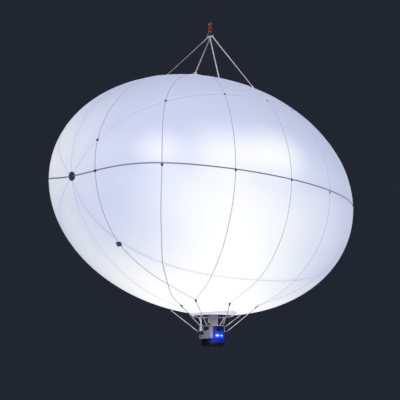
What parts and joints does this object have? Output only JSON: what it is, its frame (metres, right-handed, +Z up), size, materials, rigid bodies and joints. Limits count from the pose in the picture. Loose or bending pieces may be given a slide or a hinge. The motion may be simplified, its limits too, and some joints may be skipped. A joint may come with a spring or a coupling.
{
  "type": "hanging balloon light",
  "caption": "Large ellipsoid balloon light hung from a swivel eye by a four-leg sling, with a blower and lamp unit stayed below its mouth.",
  "frame": {"origin": "the bearing point inside the top of the swivel eye, where the hoist's hook or shackle holds the balloon", "axes": "+Z up through the hanging point, X along the envelope's long axis, Y across it"},
  "size_m": [6.009, 3.434, 5.084],
  "materials": {
    "steel": "galvanised, satin",
    "red_paint": "orange-red paint",
    "webbing": "pale grey polyester webbing",
    "tape": "grey polyester tape sewn over the cloth",
    "white_fabric": "white coated fabric",
    "envelope_cloth": "translucent white cloth, lit from inside",
    "dark_patch": "dark grey patch",
    "grey_paint": "light grey satin paint",
    "blue_paint": "dark blue satin paint",
    "black_paint": "black satin paint",
    "black_plastic": "black moulded plastic",
    "conduit_grey": "pale grey conduit",
    "blue_light": "blue lens over lamps"
  },
  "bodies": {
    "hanger": {"swivel_eye": "steel"},
    "balloon": {"swivel_yoke": "red_paint", "sling_link": "steel", "sling_leg_1": "webbing", "sling_leg_2": "webbing", "sling_leg_3": "webbing", "sling_leg_4": "webbing", "sling_patch_1": "white_fabric", "sling_patch_2": "white_fabric", "sling_patch_3": "white_fabric", "sling_patch_4": "white_fabric", "gore_front_upper": "envelope_cloth", "gore_front_crown": "envelope_cloth", "gore_back_crown": "envelope_cloth", "gore_back_upper": "envelope_cloth", "gore_back_lower": "envelope_cloth", "gore_back_keel": "envelope_cloth", "gore_front_keel": "envelope_cloth", "gore_front_lower": "envelope_cloth", "end_patch_left": "dark_patch", "end_patch_right": "dark_patch", "mouth_collar": "grey_paint", "mouth_plate": "blue_paint", "mouth_skirt": "white_fabric", "neck_housing": "grey_paint", "crown_plate": "steel", "cooling_fins": "black_paint", "light_band": "blue_light", "blower_case": "blue_paint", "intake_grille": "black_paint", "control_box": "grey_paint", "conduit_gland": "black_plastic", "conduit": "conduit_grey", "socket_1": "black_plastic", "socket_2": "black_plastic", "stay_1": "webbing", "stay_2": "webbing", "stay_3": "webbing", "stay_4": "webbing", "stay_5": "webbing", "stay_6": "webbing", "stay_7": "webbing", "stay_8": "webbing", "lead_box": "black_plastic", "load_tapes": "tape", "side_patch_1": "dark_patch", "side_patch_2": "dark_patch"},
    "fan": {"fan_rotor": "black_plastic"}
  },
  "joints": [
    {"name": "swivel_turn", "type": "hinge", "parent": "hanger", "child": "balloon", "pos_m": [0, 0, -0.09], "axis": [0, 0, 1], "continuous": true},
    {"name": "fan_spin", "type": "hinge", "parent": "balloon", "child": "fan", "pos_m": [0, 0, -5.01], "axis": [0, 0, 1], "continuous": true}
  ]
}
